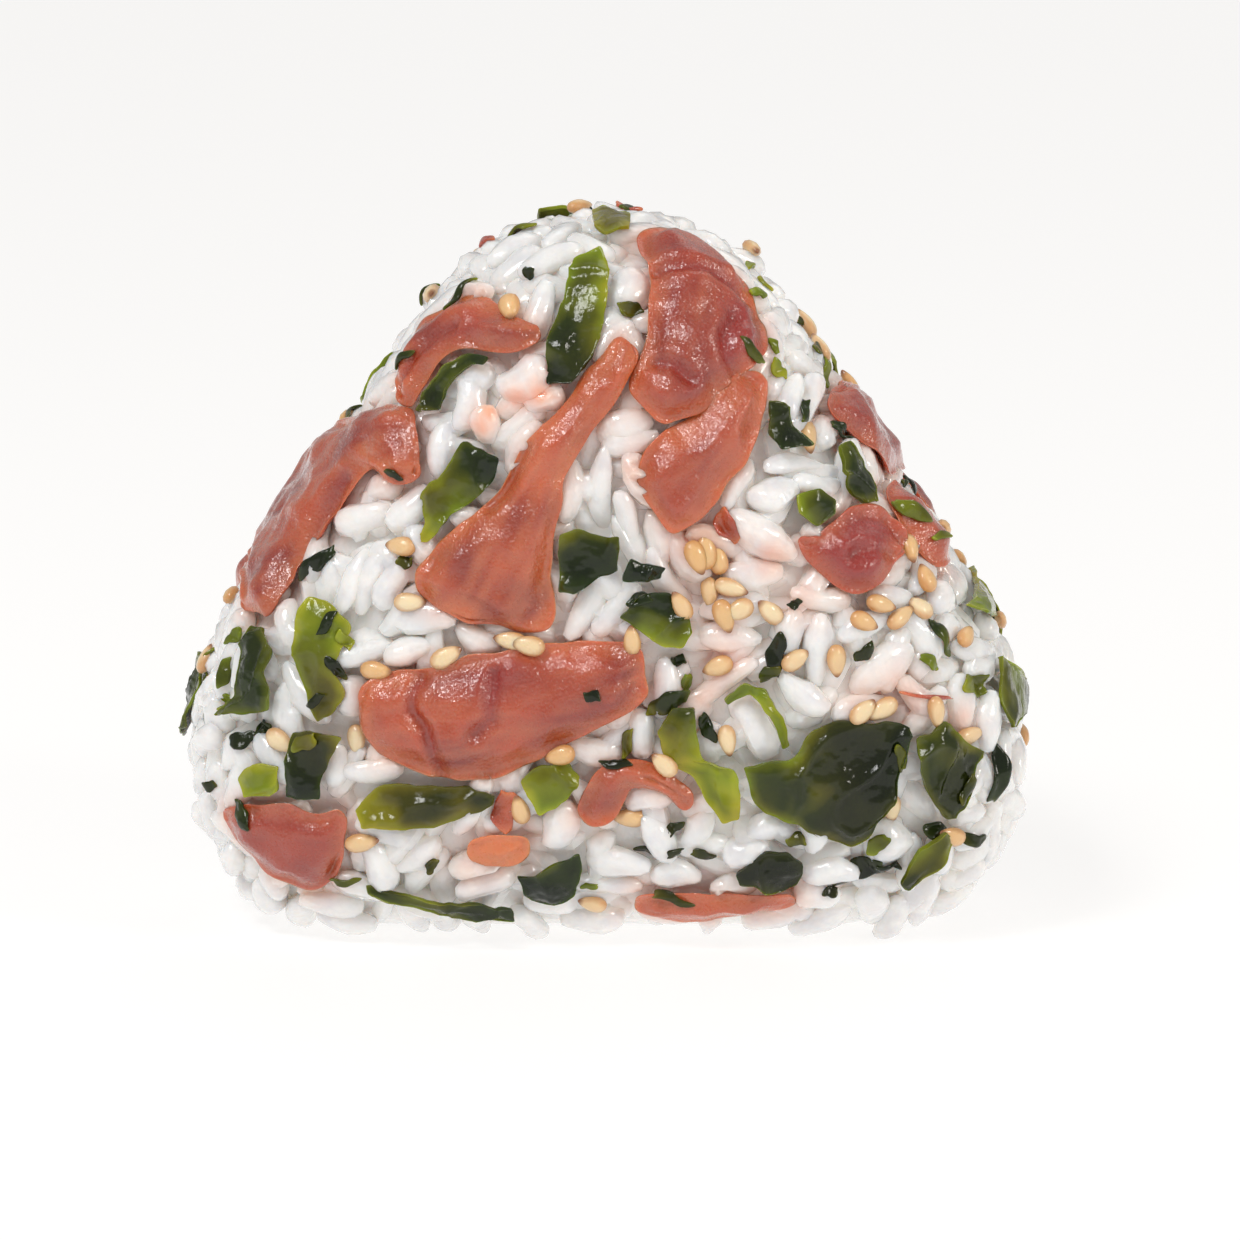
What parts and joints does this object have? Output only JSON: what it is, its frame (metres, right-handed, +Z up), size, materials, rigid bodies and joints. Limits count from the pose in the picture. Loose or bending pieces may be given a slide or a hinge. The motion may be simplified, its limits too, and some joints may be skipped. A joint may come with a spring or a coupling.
{
  "type": "rice ball",
  "caption": "Triangular hand-pressed rice ball mixed with pickled plum, wakame seaweed and toasted sesame seeds, standing on its flat base.",
  "frame": {"origin": "middle of the flat base, on the surface that the rice ball stands on", "axes": "+Z up to the rounded tip, +X along the wide base, -Y out of the front face"},
  "size_m": [0.0849, 0.0488, 0.0719],
  "materials": {
    "rice": "moist, translucent white cooked rice grains with toasted sesame seeds among them",
    "plum": "moist salmon-red pickled plum flesh, finely wrinkled, with a wet gloss",
    "seaweed": "wet, glossy, dark to olive green seaweed, translucent where it is thin"
  },
  "bodies": {
    "root": {"rice": "rice", "plum_back_a": "plum", "plum_back_b": "plum", "plum_back_c": "plum", "plum_back_d": "plum", "plum_brow": "plum", "plum_corner": "plum", "plum_crown": "plum", "plum_flank": "plum", "plum_fold": "plum", "plum_foot": "plum", "plum_left_a": "plum", "plum_low": "plum", "plum_middle": "plum", "plum_right": "plum", "plum_right_a": "plum", "plum_seam": "plum", "plum_shoulder": "plum", "plum_strip": "plum", "plum_stub": "plum", "seaweed_arc": "seaweed", "seaweed_back_e": "seaweed", "seaweed_back_f": "seaweed", "seaweed_back_g": "seaweed", "seaweed_back_h": "seaweed", "seaweed_back_i": "seaweed", "seaweed_back_j": "seaweed", "seaweed_blade": "seaweed", "seaweed_boat": "seaweed", "seaweed_cap": "seaweed", "seaweed_cape": "seaweed", "seaweed_chip": "seaweed", "seaweed_drape": "seaweed", "seaweed_ear": "seaweed", "seaweed_far": "seaweed", "seaweed_flag": "seaweed", "seaweed_frill": "seaweed", "seaweed_hem": "seaweed", "seaweed_hook": "seaweed", "seaweed_kite": "seaweed", "seaweed_knot": "seaweed", "seaweed_left_b": "seaweed", "seaweed_left_c": "seaweed", "seaweed_lobe": "seaweed", "seaweed_patch": "seaweed", "seaweed_pleat": "seaweed", "seaweed_pleat_end": "seaweed", "seaweed_ribbon": "seaweed", "seaweed_right_b": "seaweed", "seaweed_right_c": "seaweed", "seaweed_sash": "seaweed", "seaweed_shell": "seaweed", "seaweed_slate": "seaweed", "seaweed_top": "seaweed", "seaweed_wing": "seaweed", "seaweed_wrap": "seaweed"}
  },
  "joints": []
}
